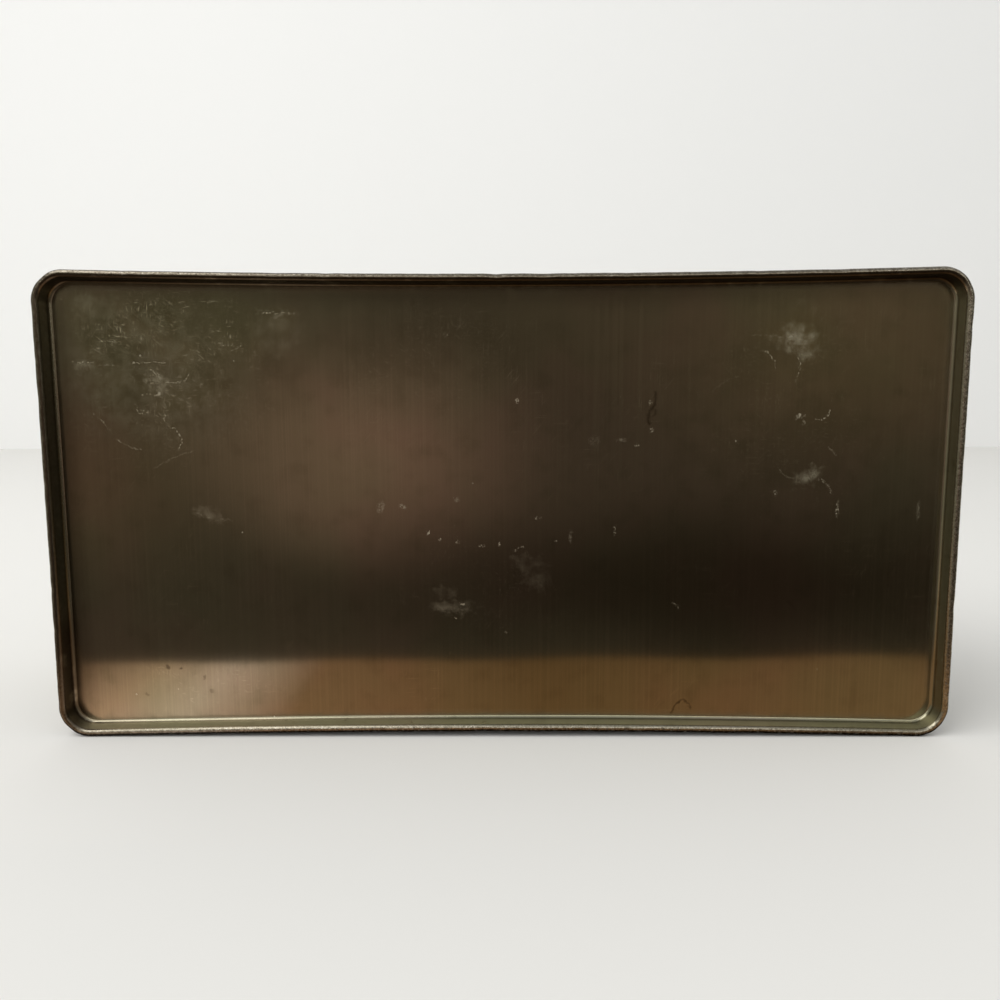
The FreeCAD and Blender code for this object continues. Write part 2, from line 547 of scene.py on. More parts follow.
@dataclass(frozen=True)
class Scratch:
    """A bent scratch or hair on the base end, between two places from the panel's middle, in millimetres."""

    start: Flat
    end: Flat
    bend: float = 0.02
    width: float = 0.3
    amount: float = 1.0
    whole: float = 0.85

    def mask(self, tree: Tree, place: Socket) -> Socket:
        """Draws the arc through both ends that rises by bend times the chord.

        Its radius is (half chord squared + rise squared) / (2 rise). The mark fades with the distance from
        that ring. It is whole up to a share of half the chord from the chord's middle, and stops at half.

        Args:
            tree: The node tree.
            place: Places on the face, in millimetres, with no depth.

        Returns:
            The mark's strength.
        """
        start, end = np.array(self.start), np.array(self.end)
        chord, middle = end - start, (start + end) / 2
        half = float(np.hypot(*chord)) / 2
        rise = 2 * half * self.bend
        radius = (half**2 + rise**2) / (2 * rise)
        centre = middle + np.array([-chord[1], chord[0]]) / (2 * half) * (rise - radius)
        far = []
        for point in (centre, middle):
            ends = {0: place, 1: (float(point[0]), 0.0, float(point[1]))}
            far.append(add_node(tree, "VectorMath", ends, "Value", operation="DISTANCE"))
        off_ring = add_node(tree, "Math", {0: far[0], 1: abs(radius)}, operation="SUBTRACT")
        off_ring = add_node(tree, "Math", {0: off_ring}, operation="ABSOLUTE")
        line = add_node(tree, "MapRange", {0: off_ring, 2: self.width, 3: self.amount, 4: 0.0})
        within = add_node(tree, "MapRange", {0: far[1], 1: half * self.whole, 2: half, 3: 1.0, 4: 0.0})
        return add_node(tree, "Math", {0: line, 1: within}, operation="MULTIPLY")


@dataclass(frozen=True)
class Marks:
    """The marks that one piece carries."""

    bloom: tuple[Smudge, ...] = ()
    haze: tuple[Smudge, ...] = ()
    scuffs: tuple[Smudge | Scratch, ...] = ()
    dark: tuple[Smudge | Scratch, ...] = ()
    flecks: tuple[Smudge, ...] = ()
    # painted shade in the drawn hollow
    hollow_shade: tuple[Smudge, ...] = ()
    # painted shade on the panel along its edges
    shade: tuple[Smudge, ...] = ()


BASE_END_MARKS = Marks(
    bloom=(
        Smudge(-80, 40, 78, 46, 0.9, 8), Smudge(-20, 44, 90, 30, 0.5), Smudge(70, 20, 80, 70, 0.35),
    ),
    haze=(
        Smudge(-88, 34, 66, 46, 0.3, 12), Smudge(-86.5, 32, 10, 8, 0.8, 20),
        Smudge(-104.5, 36.5, 10, 6, 0.5), Smudge(-102, 50, 16, 10, 0.35, 20),
        Smudge(-101, 29, 10, 14, 0.35), Smudge(-56, 44, 17, 13, 0.25), Smudge(-56, 49, 13, 1.8, 0.6),
        Smudge(-75, -1.5, 11, 5, 0.7, 20), Smudge(74, 42.5, 12, 11, 0.8), Smudge(76, 40, 8, 8, 0.7, 40),
        Smudge(72, 42.5, 15, 2, 0.5, 4), Smudge(78, 8, 10, 6, 0.9, -25), Smudge(9, -17.5, 9, 11, 0.35),
        Smudge(5.5, -14, 7, 6, 0.35), Smudge(-12.5, -26, 16, 5, 0.55), Smudge(-14.5, -22, 8, 4, 0.3),
    ),
    scuffs=(
        Scratch((-75, 51.8), (-70.2, 51.8), 0.01, 0.2, 0.6),
        Scratch((-59.9, 49.1), (-50.9, 48.8), 0.01, 0.22, 0.6),
        Scratch((-102.2, 46.2), (-100, 46.2), 0.01, 0.2, 0.5),
        Scratch((-101.2, 42.3), (-96.2, 42), 0.01, 0.18, 0.45),
        Scratch((-108, 37.1), (-101.5, 36.9), 0.01, 0.2, 0.7),
        Scratch((-101.5, 36.2), (-96, 36.2), 0.01, 0.18, 0.5),
        Scratch((-94, 36.8), (-83.7, 36.9), 0.01, 0.2, 0.8),
        Scratch((-88.6, 35.3), (-85.3, 32), 0.1, 0.25, 0.6),
        Scratch((-85.3, 31.8), (-80.5, 32.3), -0.05, 0.25, 0.7),
        Scratch((-80.5, 32.4), (-78.3, 34.4), -0.2, 0.22, 0.6),
        Scratch((-70.4, 41), (-64.9, 41), 0.01, 0.18, 0.6),
        Scratch((-65.5, 40.8), (-68.5, 39.6), 0.05, 0.22, 0.5),
        Scratch((-87.6, 30.4), (-84.8, 25.1), 0.1, 0.22, 0.4),
        Scratch((-84.8, 25.1), (-85, 21.6), -0.1, 0.25, 0.6),
        Scratch((-84.2, 20.8), (-82.4, 14.8), 0.3, 0.24, 1),
        Scratch((-91, 29), (-86, 28.2), 0.08, 0.25, 0.6), Smudge(-86.4, 29, 2.4, 1.2, 0.7, -30),
        Scratch((-92.6, 26.6), (-92, 24.2), 0.1, 0.22, 0.6),
        Scratch((-92, 24.4), (-88.5, 24.9), -0.1, 0.25, 0.6), Smudge(-90, 24.8, 3.4, 1.2, 0.5, 10),
        Scratch((-103.5, 24.5), (-99, 19.6), 0.03, 0.22, 0.6),
        Scratch((-97.9, 17.9), (-91.5, 15.1), -0.08, 0.24, 0.65),
        Scratch((-89, 10.2), (-78, 14.8), 0.03, 0.22, 0.45),
        Scratch((62, 43.4), (71, 42.5), 0.02, 0.25, 0.25), Smudge(73.5, 41.3, 8, 7, 0.2, 20),
        Smudge(77.5, 7.8, 8, 4, 0.2, -30), Smudge(-13, -26.6, 11, 3, 0.2, 3),
        Smudge(-87, 32.4, 8, 5, 0.2, 20), Smudge(-105, 36.4, 7, 3.5, 0.2),
        Scratch((64.6, 39.6), (68.4, 34.4), 0.22, 0.22, 0.7),
        Scratch((74.1, 38.4), (73.4, 31.5), 0.12, 0.22, 0.6),
        Scratch((52.2, 28), (60, 33.2), 0.12, 0.18, 0.25),
        Scratch((79.1, 22.3), (82.8, 24.8), -0.2, 0.3, 1), Smudge(75.2, 23.1, 3.4, 1.8, 0.9, -20),
        Smudge(76.2, 21.6, 1.2, 1.8, 0.5), Scratch((82.6, 15.4), (84.6, 13.3), 0.1, 0.3, 0.5),
        Scratch((80.5, 7.5), (84, 3.4), 0.1, 0.45, 0.6),
        Scratch((70.4, 9.9), (74.5, 7.4), -0.15, 0.3, 0.45), Smudge(69.8, 3.8, 1.6, 1.8, 0.8),
        Smudge(85.7, -0.4, 1.2, 5.5, 0.8), Smudge(106.3, -1, 1.6, 6, 0.5),
        Scratch((-79.5, 0.2), (-74.5, -2.6), -0.12, 0.3, 0.35),
        Scratch((-74.5, -4), (-69, -3.2), 0.12, 0.25, 0.35), Smudge(3.8, 27.1, 1.4, 2, 0.6),
        Smudge(34.2, 15.9, 1.4, 1.1, 0.6), Smudge(30.3, 17.2, 3, 1.6, 0.4), Smudge(23.5, 17, 4, 4, 0.15),
        Smudge(-31, 0.2, 2.6, 3.8, 0.5, 20), Smudge(-25.4, 0.2, 2.4, 1.8, 0.6, 30),
        Smudge(-11.6, 2.3, 1.8, 1.8, 0.5), Smudge(-18.8, -6.5, 1, 1.4, 1), Smudge(-11.3, -8.9, 1.2, 1, 1),
        Smudge(-15.9, -8.2, 1.4, 1, 0.7), Smudge(-5, -9.9, 2.6, 0.9, 0.8),
        Smudge(-0.5, -9.4, 1.2, 1.4, 0.9), Smudge(13.7, -8.6, 1, 1, 1),
        Scratch((2.9, -12), (6, -10.4), 0.2, 0.3, 0.8), Smudge(9.2, -2.6, 2.4, 0.9, 0.9, -10),
        Smudge(29, -5.9, 1, 3.4, 0.6), Smudge(17.6, -7.6, 1, 4.4, 0.4), Smudge(-10.4, -25.2, 2.4, 0.9, 0.9),
        Smudge(-12, -28.9, 0.9, 0.9, 0.9), Smudge(0.9, -32.8, 1, 1, 0.7),
        Scratch((44, -24.9), (45.8, -26.6), 0.2, 0.3, 0.6), Smudge(38, 19.8, 1.6, 1.6, 0.7),
        Smudge(37.4, 26.6, 1, 1.4, 0.5),
    ),
    dark=(
        Scratch((38.8, 29.6), (38.6, 26.2), 0.02, 0.7, 0.6),
        Scratch((38.7, 26.6), (37.4, 24.6), 0.1, 0.6, 0.7),
        Scratch((37.5, 25), (37.2, 21), -0.05, 0.7, 0.65), Scratch((38.5, 25.4), (38, 22.8), 0.2, 0.4, 0.5),
        Scratch((44.3, -55.2), (47.4, -51), 0.12, 0.3, 0.7),
        Scratch((47.2, -51), (49.6, -53.6), 0.15, 0.3, 0.6), Smudge(-87.7, -42, 1.7, 1.5, 0.5),
        Smudge(-84.2, -42.3, 1.3, 1.1, 0.5), Smudge(-78.2, -44.9, 1.6, 1.8, 0.35),
        Smudge(-76.5, -48.5, 1.6, 1.4, 0.3), Smudge(-93.5, -49.5, 1.6, 1.4, 0.3),
        Scratch((73.4, -24.2), (75.8, -27), 0.1, 0.35, 0.4),
    ),
    flecks=(
        Smudge(-86, 36, 76, 58, 1), Smudge(-20, 40, 60, 36, 0.3), Smudge(72, 24, 70, 74, 0.35),
        Smudge(-6, -20, 70, 36, 0.3), Smudge(-80, -46, 60, 16, 0.4),
    ),
    # painted shade: darkens the drawn hollow's walls, most at the top and the left
    hollow_shade=(
        Smudge(0, 58, 720, 10, 0.8), Smudge(-115, 0, 8, 400, 0.6), Smudge(115, 10, 8, 150, 0.15),
        Smudge(-80, -58.6, 120, 4.4, 0.35), Smudge(85, -58.6, 90, 4.4, 0.3),
        Smudge(-112.5, -46, 9, 60, 0.8),
    ),
    # painted shade on the panel along its top and left edges
    shade=(Smudge(0, 59.3, 360, 22, 0.55), Smudge(-116, -12, 22, 270, 0.5)),
)
LID_MARKS = Marks(
    bloom=(Smudge(40, 10, 120, 70, 0.6),),
    haze=(Smudge(-50, -20, 50, 30, 0.5, 15), Smudge(60, 25, 20, 14, 0.7)),
    scuffs=(
        Scratch((-40, 12), (-12, 20), 0.04, 0.3, 0.7), Scratch((20, -30), (46, -24), -0.05, 0.3, 0.6),
        Scratch((58, 28), (66, 20), 0.2, 0.3, 0.8), Smudge(-20, -14, 2.4, 1.4, 0.8, 10),
    ),
)


# --- finish


class Grain(Enum):
    """How the rolling lines run: their spacing and length, in millimetres along x, y and z."""

    UPRIGHT = (0.45, 0.45, 70.0)
    ROUND = (70.0, 0.45, 70.0)


@dataclass(frozen=True)
class Layer:
    """Something that covers the metal in part: where, its colour, and how it takes the light."""

    amount: Socket
    tone: Tone
    roughness: float
    metallic: float = 1.0


@dataclass(frozen=True)
class Patches:
    """Uneven patches: noise, kept where it rises from low to high.

    Size is in millimetres, amount is what a patch comes to, and detail counts the finer levels of the noise.
    """

    size: float
    low: float
    high: float
    amount: float = 1.0
    detail: float = 3.0


@dataclass(frozen=True)
class Strokes:
    """Short straight strokes: noise stretched along headings, kept at its peaks.

    Length and width are in millimetres, and turns in degrees from level. Under low there is none, so that a
    higher low leaves fewer strokes, and from there they grow over the rise.
    """

    length: float
    width: float
    turns: tuple[float, ...]
    low: float
    rise: float = 0.12


@dataclass(frozen=True)
class Face:
    """What patterns are drawn from: the node tree, places in millimetres, rolling lines, and wear by name."""

    tree: Tree
    mm: Socket
    lines: Socket
    wear: dict[str, Socket]

    def patches(self, kind: Patches, place: Socket | None = None) -> Socket:
        """Draws patches.

        Args:
            kind: The patches.
            place: Places to draw them at, if not the face's own.

        Returns:
            Their amount, from 0.
        """
        grain = {"Vector": self.mm if place is None else place, "Scale": 1 / kind.size, "Detail": kind.detail}
        ramp = {0: add_node(self.tree, "TexNoise", grain), 1: kind.low, 2: kind.high, 4: kind.amount}
        return add_node(self.tree, "MapRange", ramp, interpolation_type="SMOOTHSTEP")

    def joined(self, *masks: Socket, how: str = "MULTIPLY") -> Socket:
        """Joins masks by their product, or by another operation.

        Args:
            *masks: The masks.
            how: An operation of the math node on two numbers.

        Returns:
            The joined mask.
        """
        result = masks[0]
        for mask in masks[1:]:
            result = add_node(self.tree, "Math", {0: result, 1: mask}, operation=how)
        return result

    def drawn(self, marks: tuple[Smudge | Scratch, ...], place: Socket) -> Socket:
        """Draws marks, and keeps the strongest at each place."""
        return self.joined(*(mark.mask(self.tree, place) for mark in marks), how="MAXIMUM")

    def strokes(self, kind: Strokes) -> Socket:
        """Draws strokes.

        Depth is added to the places across and up, so that they stay thin on the top and the sides too.

        Args:
            kind: The strokes.

        Returns:
            Their amount.
        """
        depth = add_node(self.tree, "SeparateXYZ", {0: self.mm}, 1)
        slanted = {0: depth, 1: (1.0, 0.0, 1.0), 2: self.mm}
        skewed = add_node(self.tree, "VectorMath", slanted, operation="MULTIPLY_ADD")
        peaks = Patches(1.0, kind.low, kind.low + kind.rise, detail=0.0)
        scale = (1 / kind.length, 1 / kind.length, 1 / kind.width)
        headings = []
        for turn in kind.turns:
            turned = {"Vector": skewed, "Rotation": (0.0, math.radians(turn), 0.0)}
            stretched = {"Vector": add_node(self.tree, "Mapping", turned), "Scale": scale}
            headings.append(self.patches(peaks, add_node(self.tree, "Mapping", stretched)))
        return self.joined(*headings, how="MAXIMUM")

    def specks(self, spacing: float, size: float) -> Socket:
        """Scatters specks: dots at the middles of random cells, in the cells whose random value is high.

        Args:
            spacing: How large the cells are, in millimetres.
            size: How far a speck reaches, in millimetres.

        Returns:
            Their amount.
        """
        cells = add_node(self.tree, "TexVoronoi", {"Vector": self.mm, "Scale": 1 / spacing}).node.outputs
        reach = size / spacing
        dot = {0: cells["Distance"], 1: reach / 2, 2: reach, 3: 1.0, 4: 0.0}
        dots = add_node(self.tree, "MapRange", dot)
        chance = add_node(self.tree, "SeparateXYZ", {0: cells["Color"]})
        return self.joined(dots, add_node(self.tree, "MapRange", {0: chance, 1: 0.6, 2: 1.0}))


@dataclass(frozen=True)
class AgedTinplate:
    """Hot-dipped tinplate, dulled by age: a warm dark grey metal that still mirrors, with fine rolling lines.

    Use has rubbed its seam to brighter, speckled metal, and grime has gathered beside it. The press left its
    drawn walls paler and matt. The flats carry clouds of oxide, hazy film, scuffs, specks and a few hairs.
    Painted shade darkens the drawn hollow, most on its top and left walls, and the panel along its edges.
    """

    name: str
    marks: Marks
    grain: Grain = Grain.UPRIGHT
    roughness: float = 0.11
    cloud: Patches = Patches(55.0, 0.4, 0.6)
    mottle: Patches = Patches(6.0, 0.45, 0.8, 0.5, 6.0)
    bloom: Patches = Patches(12.0, 0.3, 0.6, 1.0, 5.0)
    frost: Patches = Patches(2.6, 0.0, 0.45)
    speckle: Patches = Patches(0.55, 0.4, 0.62, 0.85)
    bare_rim: Patches = Patches(8.0, 0.2, 0.7)
    nicks: Patches = Patches(0.5, 0.54, 0.68, 0.7, 2.0)
    pits: Patches = Patches(0.55, 0.54, 0.7, 0.6)
    burrs: Patches = Patches(0.55, 0.25, 0.75)
    grime: Patches = Patches(3.0, 0.2, 0.7, 1.0, 5.0)
    film: Patches = Patches(3.0, 0.3, 0.68, 1.0, 5.0)
    scuff: Patches = Patches(0.4, 0.4, 0.62, 1.0, 2.0)
    dust: Patches = Patches(9.0, 0.35, 0.65, 0.5, 2.0)
    handled: Patches = Patches(23.0, 0.5, 0.66, 0.4)
    # patches of the painted shade in the drawn hollow
    hollow_shade: Patches = Patches(5.0, 0.1, 0.45)
    # patches of the painted shade along the panel's edges
    edge_shade: Patches = Patches(5.0, 0.0, 0.45)
    flecks: Strokes = Strokes(1.8, 0.22, (3.0, 86.0, 140.0), 0.7)
    hairlines: Strokes = Strokes(6.0, 0.12, (2.0, 88.0, 50.0), 0.72)
    speck_spacing: float = 6.0
    speck: float = 0.28
    ragged_sway: Flat = (2.0, 7.0)
    fine_sway: Flat = (0.9, 1.5)
    apart: Place = (37.0, 11.0, 53.0)

    def make(self, tin: Tinplate) -> Material:
        """Makes the material, on places in millimetres from the middle of the tin's height.

        The rolling lines are drawn about twice as coarse as the real ones so that they show.

        Args:
            tin: The tin, for its height.

        Returns:
            The new material.
        """
        material = new_material(self.name)
        tree = material.node_tree
        place = add_node(tree, "TexCoord", out="Object")
        centred = {"Vector": place, "Location": (0.0, 0.0, -tin.height / 2), "Scale": (1 / MM,) * 3}
        mm = add_node(tree, "Mapping", centred)
        stretch = {"Vector": mm, "Scale": tuple(1 / length for length in self.grain.value)}
        lines = add_node(tree, "Mapping", stretch)
        lines = add_node(tree, "TexNoise", {"Vector": lines, "Scale": 1.0, "Detail": 3.0})
        wear = {f.name: add_node(tree, "Attribute", out="Fac", attribute_name=f.name) for f in fields(Wear)}
        face = Face(tree, mm, lines, wear)
        colour, roughness, metallic = linear(Tone.OLIVE.value), self.roughness, 1.0
        for layer in self.oxide(face) + self.worn(face) + self.marked(face):
            tint = {"Factor": layer.amount, 6: colour, 7: linear(layer.tone.value)}
            colour = add_node(tree, "Mix", tint, 2, data_type="RGBA")
            roughness = add_node(tree, "Mix", {"Factor": layer.amount, 2: roughness, 3: layer.roughness})
            metallic = add_node(tree, "Mix", {"Factor": layer.amount, 2: metallic, 3: layer.metallic})
        looks = {"Base Color": colour, "Roughness": roughness, "Metallic": metallic}
        return finish_material(material, "BsdfPrincipled", {**looks, "Normal": self.relief(face)})

    def oxide(self, face: Face) -> list[Layer]:
        """Lists what tints the bare metal: warm clouds, mottled oxide, rolling lines and blooms.

        Args:
            face: The face.

        Returns:
            The layers.
        """
        layers = [
            Layer(face.patches(self.cloud), Tone.WARM, self.roughness),
            Layer(face.patches(self.mottle), Tone.BLOOM, self.roughness + 0.02),
        ]
        streaks = add_node(face.tree, "MapRange", {0: face.lines, 1: 0.45, 2: 0.8, 4: 0.5})
        layers.append(Layer(streaks, Tone.STREAK, self.roughness + 0.02))
        if self.marks.bloom:
            wide = face.drawn(self.marks.bloom, face.mm)
            amount = face.joined(wide, face.patches(self.bloom))
            layers.append(Layer(amount, Tone.BLOOM, self.roughness + 0.04))
        return layers

    def worn(self, face: Face) -> list[Layer]:
        """Lists what the press and use did: matt drawn walls, rubbed and nicked edges, pits and dirt.

        Args:
            face: The face.

        Returns:
            The layers.
        """
        rub, matt, grime = face.wear["rub"], face.wear["matt"], face.wear["grime"]
        apart = add_node(face.tree, "Mapping", {"Vector": face.mm, "Location": self.apart})
        frosted = face.joined(matt, face.patches(self.frost))
        rubbed = face.joined(rub, face.patches(self.speckle))
        bare = face.joined(rub, face.patches(self.bare_rim, apart), face.patches(self.nicks, apart))
        pitted = face.joined(rub, face.patches(self.pits, apart))
        dirty = face.joined(grime, face.patches(self.grime))
        return [
            Layer(frosted, Tone.DRAWN, 0.38),
            Layer(rub, Tone.RIM, 0.25),
            Layer(rubbed, Tone.WORN, 0.27),
            Layer(bare, Tone.BARE, 0.24),
            Layer(pitted, Tone.GRIME, 0.5, 0.6),
            Layer(dirty, Tone.GRIME, 0.55, 0.5),
        ]

    def marked(self, face: Face) -> list[Layer]:
        """Lists what lies on the metal: haze, scuffs, flecks, hairlines, specks and hairs, and painted shade.

        Noise of a size moves the places by its sway, so that the marks come out ragged. Painted shade darkens
        the drawn hollow's walls, and the panel along its edges.

        Args:
            face: The face.

        Returns:
            The layers.
        """
        tree, marks = face.tree, self.marks
        flat = (1.0, 0.0, 1.0)
        level = add_node(tree, "VectorMath", {0: face.mm, 1: flat}, operation="MULTIPLY")
        placed = []
        for size, sway in (self.ragged_sway, self.fine_sway):
            noise = add_node(tree, "TexNoise", {"Vector": face.mm, "Scale": 1 / size, "Detail": 4.0}, 1)
            shift = add_node(tree, "VectorMath", {0: noise, 1: (0.5,) * 3}, operation="SUBTRACT")
            moved = {0: shift, 1: tuple(sway * share for share in flat), 2: level}
            placed.append(add_node(tree, "VectorMath", moved, operation="MULTIPLY_ADD"))
        ragged, fine = placed
        layers = []
        if marks.haze:
            streaked = add_node(tree, "MapRange", {0: face.lines, 1: 0.35, 2: 0.65, 3: 0.85})
            film = face.joined(face.drawn(marks.haze, ragged), streaked, face.patches(self.film))
            layers.append(Layer(film, Tone.HAZE, 0.3, 0.9))
        if marks.scuffs:
            scuffs = face.joined(face.drawn(marks.scuffs, fine), face.patches(self.scuff))
            layers.append(Layer(scuffs, Tone.SCUFF, 0.4, 0.7))
        if marks.flecks:
            dusty, flecks = face.drawn(marks.flecks, ragged), face.strokes(self.flecks)
            layers.append(Layer(face.joined(dusty, flecks, face.patches(self.dust)), Tone.SCUFF, 0.35, 0.9))
        hairlines = face.joined(face.strokes(self.hairlines), face.patches(self.handled))
        layers.append(Layer(hairlines, Tone.SCUFF, 0.35))
        layers.append(Layer(face.specks(self.speck_spacing, self.speck), Tone.SCUFF, 0.45, 0.6))
        if marks.dark:
            layers.append(Layer(face.drawn(marks.dark, fine), Tone.RUST, self.roughness + 0.1))
        # painted shade on the drawn hollow's walls
        if marks.hollow_shade:
            hollow = add_node(tree, "MapRange", {0: face.wear["matt"], 1: 0.0, 2: 0.1})
            hollow_shade = face.joined(face.drawn(marks.hollow_shade, fine), hollow, face.patches(self.hollow_shade))
            layers.append(Layer(hollow_shade, Tone.PAINTED_SHADE, 0.4))
        # painted shade on the panel along its edges
        if marks.shade:
            panel = add_node(tree, "MapRange", {0: face.wear["matt"], 1: 0.1, 2: 0.2, 3: 1.0, 4: 0.0})
            edge_shade = face.joined(face.drawn(marks.shade, fine), panel, face.patches(self.edge_shade))
            layers.append(Layer(edge_shade, Tone.PAINTED_SHADE, self.roughness + 0.05))
        return layers

    def relief(self, face: Face) -> Socket:
        """Turns the normal for the rolling lines, and for the pits and burrs of rubbed metal.

        Args:
            face: The face.

        Returns:
            The normal.
        """
        rolled = add_node(face.tree, "Bump", {"Height": face.lines, "Strength": 0.25, "Distance": 0.01 * MM})
        pits = face.joined(face.wear["rub"], face.patches(self.burrs))
        burrs = {"Height": pits, "Strength": 0.5, "Distance": 0.04 * MM, "Normal": rolled}
        return add_node(face.tree, "Bump", burrs)


# --- the three pieces


@dataclass(frozen=True)
class BaseEnd:
    """The pressed end, with its half of the double seam."""

    tin: Tinplate
    foot_inset: float = 2.15
    fillet: float = 0.9
    hook_end_gap: float = 0.3
    panel_rings: int = 30

    def section(self) -> Section:
        """Draws the sheet from the panel's edge, over the crest, round the hook, and back along its inside.

        The recess wall is the common tangent of the fillet's arc and the crest's arc.

        Returns:
            The section.
        """
        sheet, crest_radius, depth = self.tin.sheet, self.tin.crest_radius, self.tin.recess_depth
        crest = (crest_radius, crest_radius)
        fillet = (self.foot_inset + self.fillet, depth - self.fillet)
        lean = math.atan2(fillet[0] - crest[0], fillet[1] - crest[1])
        draft = lean - math.asin((crest_radius + self.fillet) / math.dist(crest, fillet))
        bend_inner = (self.tin.cover_hook_inset - sheet) / 2
        bend_outer = bend_inner + sheet
        bend = (bend_outer, self.tin.seam_height - bend_outer)
        hook_top = crest_radius + self.hook_end_gap
        section = Section((fillet[0], depth), Wear(grime=0.15, matt=0.1))
        section.arc(fillet, self.fillet, QUARTER, math.pi - draft, Wear(grime=0.05, matt=0.3))
        wall_foot = section.rows[-1]
        wall_top = (crest[0] + crest_radius * math.cos(draft), crest[1] - crest_radius * math.sin(draft))
        section.line(wall_top, 5, Wear(matt=1.0))
        section.arc(crest, crest_radius, -draft, -draft - QUARTER / 2, Wear(rub=0.4, matt=0.3))
        section.arc(crest, crest_radius, -draft - QUARTER / 2, -QUARTER, Wear(rub=0.8, matt=0.1))
        section.arc(crest, crest_radius, -QUARTER, -math.pi, Wear(rub=1.0))
        section.line((0.0, bend[1]), 5, Wear(rub=0.9))
        section.arc(bend, bend_outer, math.pi, 0, Wear(rub=0.6, grime=0.3))
        inside = self.tin.cover_hook_inset
        section.line((inside + sheet, hook_top), 2)
        section.line((inside, hook_top))
        section.line((inside, bend[1]), 2)
        section.arc(bend, bend_inner, 0, math.pi, turn=HIDDEN_TURN)
        section.line((sheet, crest_radius), 2)
        section.arc(crest, crest_radius - sheet, -math.pi, -draft, turn=HIDDEN_TURN)
        section.line((wall_foot[0] - sheet * math.cos(draft), wall_foot[1] + sheet * math.sin(draft)))
        section.arc(fillet, self.fillet + sheet, math.pi - draft, QUARTER, turn=HIDDEN_TURN)
        return section

    def build(self) -> Piece:
        """Builds the end as one closed skin."""
        skin = Skin([(self.tin.outline(), self.section())], self.panel_rings)
        return skin.mesh("base_end_sheet", Unevenness(), self.tin.middle)


@dataclass(frozen=True)
class CanBody:
    """The closed can body, with the shoulder and neck that the lid slips over."""

    tin: Tinplate
    neck_step: float = 0.85
    shoulder_run: float = 1.6
    lid_skirt: float = 14.0
    lid_raise: float = 1.0
    lid_edge: float = 1.8
    shoulder_gap: float = 0.5
    lock_seam_width: float = 0.6
    lock_seam_depth: float = 0.2
    grimy_strip: float = 0.4

    @property
    def neck_bottom(self) -> float:
        """The rise at which the neck starts."""
        return self.tin.depth - self.lid_raise - self.lid_skirt - self.shoulder_gap

    def section(self) -> Section:
        """Draws the body from its floor behind the base end, by wall, shoulder and neck, to its top edge.

        Returns:
            The section.
        """
        sheet, wall = self.tin.sheet, self.tin.body_inset
        neck = wall + self.neck_step
        turn = 2 * math.atan2(self.neck_step, self.shoulder_run)
        bend = self.shoulder_run / math.sin(turn) / 2
        edge_radius = self.lid_edge - sheet
        top = self.tin.depth - self.lid_raise - sheet
        section = Section((wall + sheet, self.tin.recess_depth + sheet))
        section.line((wall + sheet, self.tin.crest_radius))
        section.line((wall, self.tin.crest_radius))
        section.line((wall, self.tin.seam_height + self.grimy_strip), 4, Wear(grime=0.9))
        shoulder = self.neck_bottom - self.shoulder_run
        section.line((wall, shoulder), 40)
        section.arc((wall + bend, shoulder), bend, math.pi, math.pi - turn, Wear(rub=0.3))
        section.arc((neck - bend, self.neck_bottom), bend, -turn, 0, Wear(grime=0.8))
        section.line((neck, top - edge_radius), 6)
        section.arc((neck + edge_radius, top - edge_radius), edge_radius, math.pi, QUARTER)
        return section

    def lock_seam(self, points: Grid, rub: Grid) -> Grid:
        """Folds the line of the lock seam into the middle of the underside.

        A point moves up by the seam's depth * (1 - distance from the middle / half the seam's width), if
        over 0.

        Args:
            points: An (m, n, 3) grid.
            rub: An (m, n) grid.

        Returns:
            The moved points.
        """
        moved = Unevenness(panel_wave=0.0)(points, rub)
        share = np.clip(1 - np.abs(points[..., 0]) * 2 / self.lock_seam_width, 0, 1)
        underside = points[..., 2] < self.tin.corner - self.tin.height / 2
        moved[..., 2] += self.lock_seam_depth * share * underside
        return moved

    def build(self) -> Piece:
        """Builds the body as one closed skin."""
        skin = Skin([(self.tin.outline(fold=self.lock_seam_width), self.section())])
        return skin.mesh("body_sheet", self.lock_seam, self.tin.middle)


